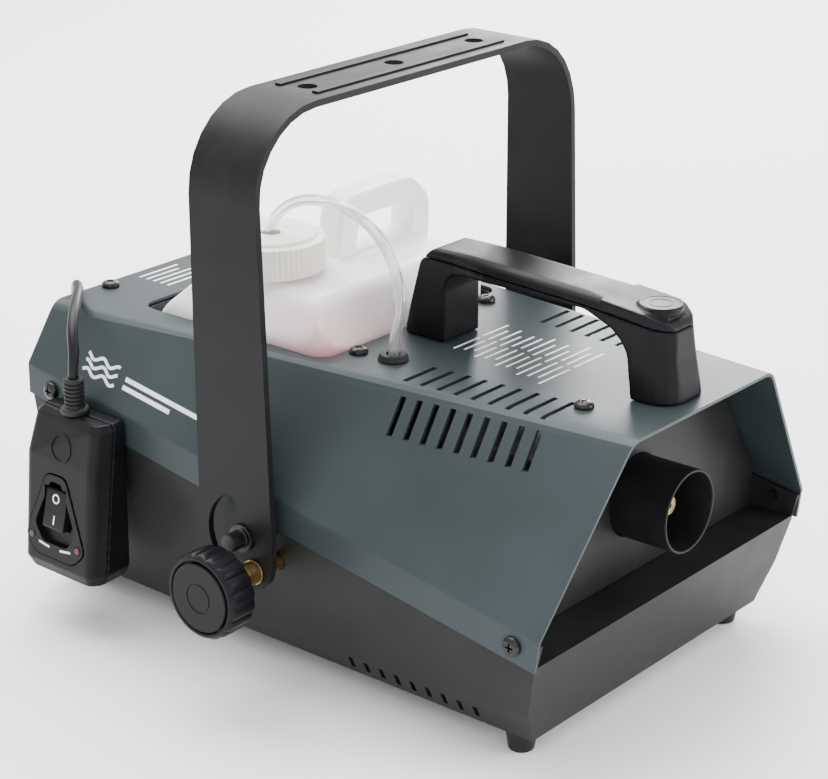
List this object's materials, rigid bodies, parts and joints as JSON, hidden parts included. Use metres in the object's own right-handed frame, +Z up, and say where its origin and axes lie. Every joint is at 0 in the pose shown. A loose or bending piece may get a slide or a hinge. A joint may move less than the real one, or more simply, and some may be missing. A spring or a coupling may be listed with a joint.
{
  "type": "fog machine",
  "caption": "Folded sheet metal fog machine with a tilting yoke, clamp knobs, carry handle, drop-in fluid tank, feed hose and a wired remote.",
  "frame": {"origin": "on the floor under the middle of the machine, its remote cord left out", "axes": "+Z up, -Y toward the side the fog leaves by, +X to the machine's right"},
  "size_m": [0.288, 0.3936, 0.2559],
  "materials": {
    "case_paint": "satin metallic paint",
    "black_paint": "fine texture powder coat",
    "black_plastic": "fine grain",
    "black_rubber": "matt",
    "cord_jacket": "smooth",
    "screw_black": "black oxide",
    "brass": "turned",
    "copper": "drawn tube",
    "aluminium": "cast",
    "zinc": "zinc plated",
    "tank_plastic": "translucent",
    "cap_plastic": "moulded",
    "clear_hose": "clear",
    "lamp_red": "unlit",
    "lamp_green": "unlit",
    "board": "lacquered"
  },
  "bodies": {
    "chassis": {"top_cover": "case_paint", "lower_chassis": "black_paint", "front_panel": "black_paint", "rear_panel": "black_paint", "tank_tray": "black_paint", "foot_front_left": "black_rubber", "foot_rear_left": "black_rubber", "foot_front_right": "black_rubber", "foot_rear_right": "black_rubber", "top_screw_rear_left": "screw_black", "top_screw_middle_left": "screw_black", "top_screw_front_left": "screw_black", "top_screw_rear_right": "screw_black", "top_screw_middle_right": "screw_black", "top_screw_front_right": "screw_black", "flange_screw_front_left": "screw_black", "flange_screw_rear_left": "screw_black", "flange_screw_front_right": "screw_black", "flange_screw_rear_right": "screw_black", "nozzle_shroud": "black_paint", "nozzle_tip": "brass", "heater_block": "aluminium", "pump": "black_plastic", "delivery_pipe": "copper", "control_board": "board", "carry_handle": "black_plastic", "carry_handle_cap": "black_plastic", "pivot_bolt_left": "screw_black", "pivot_bolt_right": "screw_black", "hose_grommet": "black_rubber", "remote_front_shell": "black_plastic", "remote_back_shell": "black_plastic", "remote_bezel": "black_plastic", "remote_lamp_front": "lamp_red", "remote_lamp_rear": "lamp_green", "remote_strain_relief": "black_rubber", "remote_bracket": "zinc", "remote_socket": "black_plastic", "mains_inlet": "black_plastic", "cord_drop": "cord_jacket", "cord_coil": "cord_jacket", "cord_tie": "black_plastic", "cord_plug": "black_plastic", "cord_tail": "cord_jacket"},
    "yoke": {"yoke": "black_paint"},
    "knob_left_travel": {"knob_washer_left": "brass"},
    "knob_left": {"knob_left": "black_plastic", "knob_stud_left": "brass"},
    "knob_right_travel": {"knob_washer_right": "brass"},
    "knob_right": {"knob_right": "black_plastic", "knob_stud_right": "brass"},
    "tank": {"fluid_tank": "tank_plastic", "feed_hose": "clear_hose", "pickup_filter": "brass"},
    "cap_travel": {"tank_cap_seal": "black_rubber"},
    "cap": {"tank_cap": "cap_plastic"},
    "rocker": {"remote_rocker": "black_plastic"},
    "fuse": {"fuse_cap": "black_plastic"}
  },
  "joints": [
    {"name": "yoke_tilt", "type": "hinge", "parent": "chassis", "child": "yoke", "pos_m": [0, 0.00544, 0.0695], "axis": [1, 0, 0], "range_deg": [-42, 4]},
    {"name": "knob_left_slide", "type": "slide", "parent": "chassis", "child": "knob_left_travel", "axis": [-1, 0, 0], "range_m": [0, 0.00125]},
    {"name": "knob_left_turn", "type": "hinge", "parent": "knob_left_travel", "child": "knob_left", "pos_m": [-0.1355, -0.00156, 0.0557], "axis": [-1, 0, 0], "range_deg": [0, 360]},
    {"name": "knob_right_slide", "type": "slide", "parent": "chassis", "child": "knob_right_travel", "axis": [1, 0, 0], "range_m": [0, 0.00125]},
    {"name": "knob_right_turn", "type": "hinge", "parent": "knob_right_travel", "child": "knob_right", "pos_m": [0.1355, -0.00156, 0.0557], "axis": [1, 0, 0], "range_deg": [0, 360]},
    {"name": "tank_lift", "type": "slide", "parent": "chassis", "child": "tank", "axis": [0, 0, 1], "range_m": [0, 0.04]},
    {"name": "cap_slide", "type": "slide", "parent": "tank", "child": "cap_travel", "axis": [0, 0, 1], "range_m": [0, 0.003]},
    {"name": "cap_turn", "type": "hinge", "parent": "cap_travel", "child": "cap", "pos_m": [-0.034, 0.05604, 0.17], "axis": [0, 0, 1], "range_deg": [0, 360]},
    {"name": "remote_rocker_tilt", "type": "hinge", "parent": "chassis", "child": "rocker", "pos_m": [-0.11913, 0.10904, 0.057], "axis": [0.02, 0.9998, 0], "range_deg": [-14, 0]},
    {"name": "fuse_turn", "type": "hinge", "parent": "chassis", "child": "fuse", "pos_m": [-0.066, 0.14554, 0.058], "axis": [0, 1, 0], "range_deg": [0, 90]}
  ],
  "couplings": [
    {"joint": "knob_left_slide", "follows": "knob_left_turn", "m_per_rad": 0.000198},
    {"joint": "knob_right_slide", "follows": "knob_right_turn", "m_per_rad": 0.000198},
    {"joint": "cap_slide", "follows": "cap_turn", "m_per_rad": 0.000477}
  ]
}
